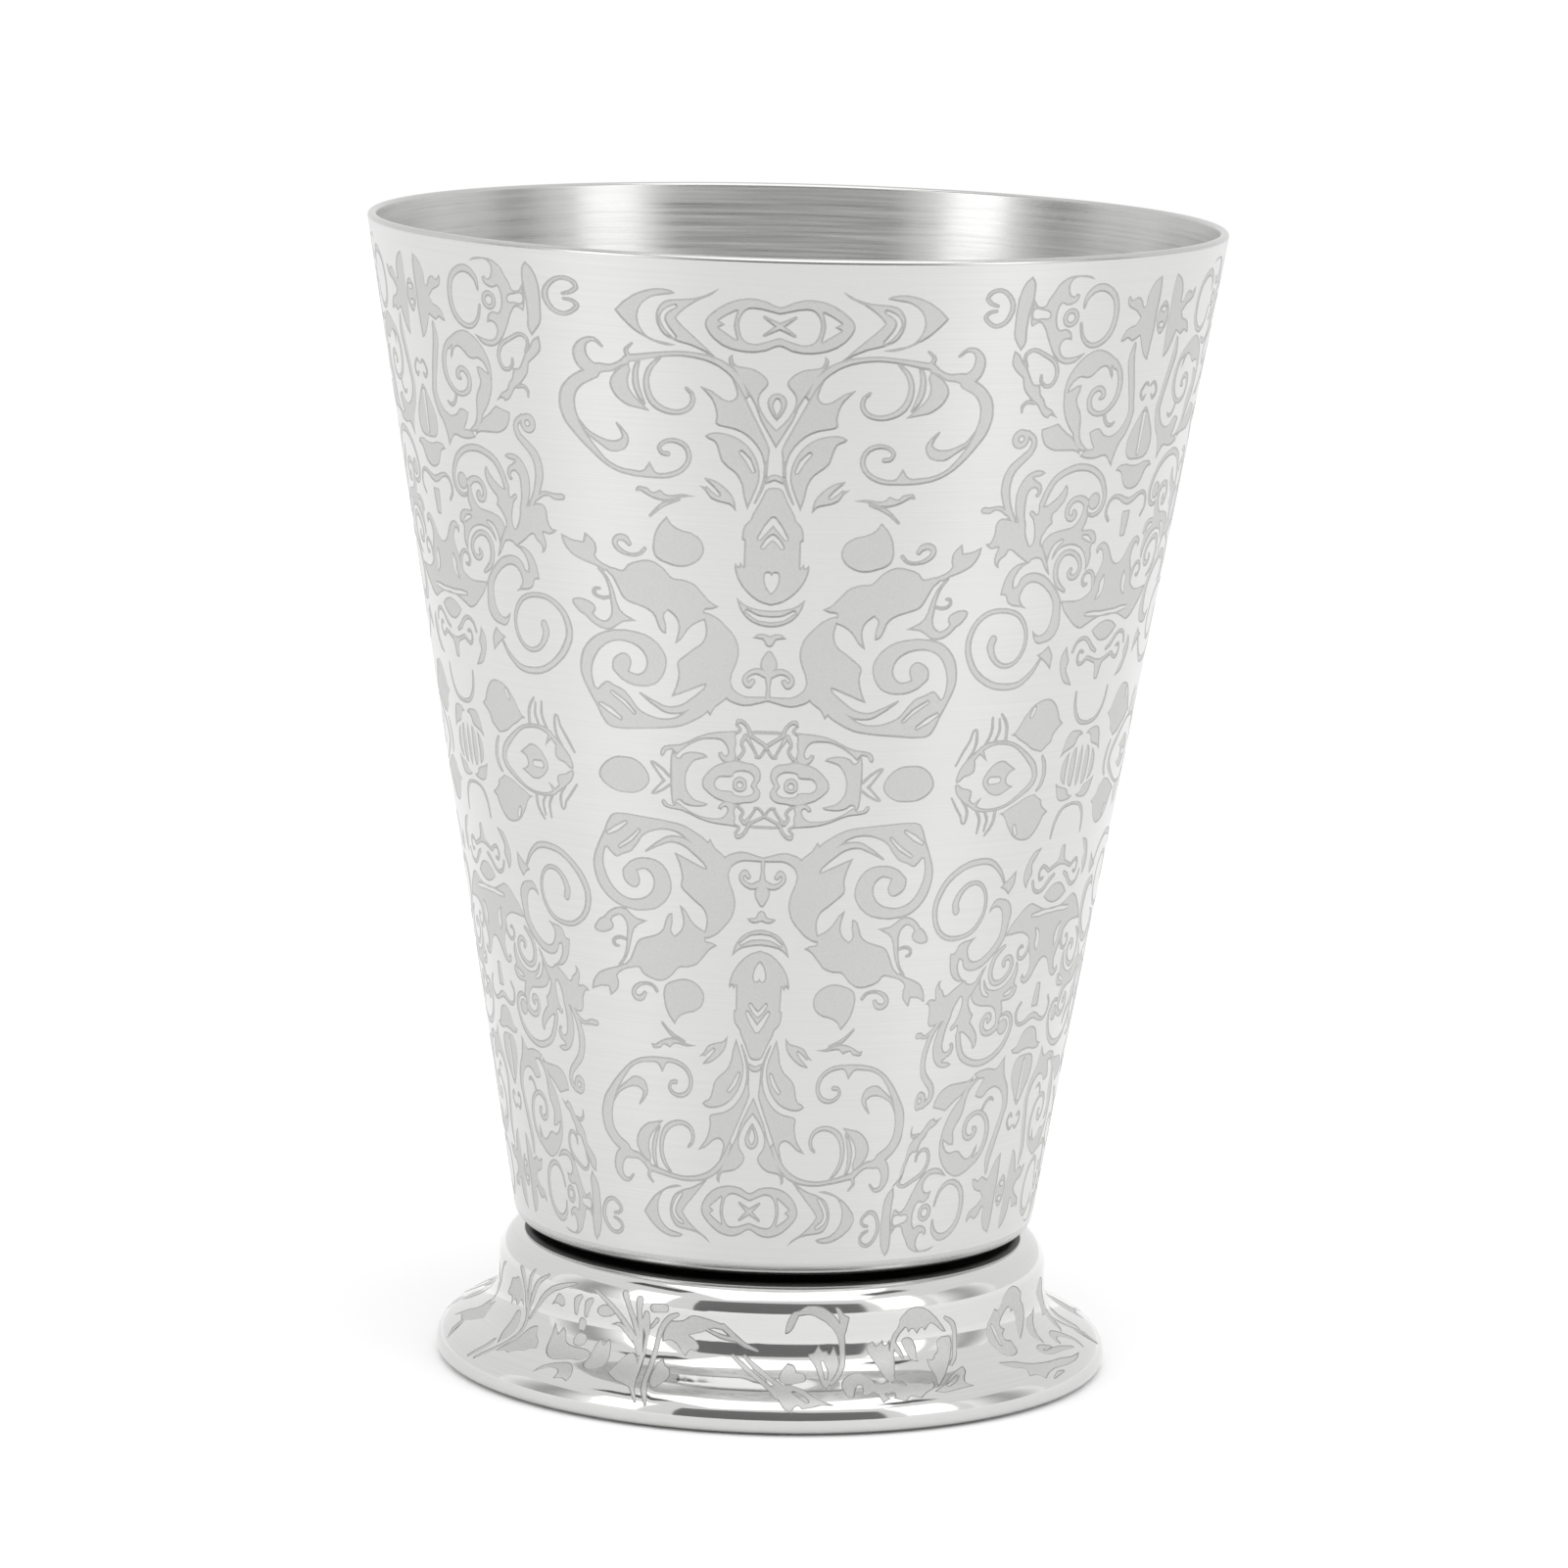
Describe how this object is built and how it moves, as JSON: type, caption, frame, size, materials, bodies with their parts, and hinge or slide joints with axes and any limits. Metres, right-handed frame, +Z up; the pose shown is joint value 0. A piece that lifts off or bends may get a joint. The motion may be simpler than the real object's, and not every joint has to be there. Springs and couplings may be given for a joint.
{
  "type": "footed tumbler",
  "caption": "Tapered steel drinking tumbler with a rounded lip, standing on a low flared hollow foot; scrollwork is etched into its wall.",
  "frame": {"origin": "on the tumbler's axis, in the plane that the foot rests on", "axes": "+Z up along the axis; X and Y level, with the middle of an open panel of the scrollwork towards -Y"},
  "size_m": [0.088, 0.088, 0.119],
  "materials": {
    "satin_steel": "satin outside with etched scrollwork, brushed inside",
    "polished_steel": "mirror polished with etched leaf sprigs",
    "braze": "matt as run"
  },
  "bodies": {
    "root": {"cup_body": "satin_steel", "foot": "polished_steel", "braze_ring": "braze"}
  },
  "joints": []
}
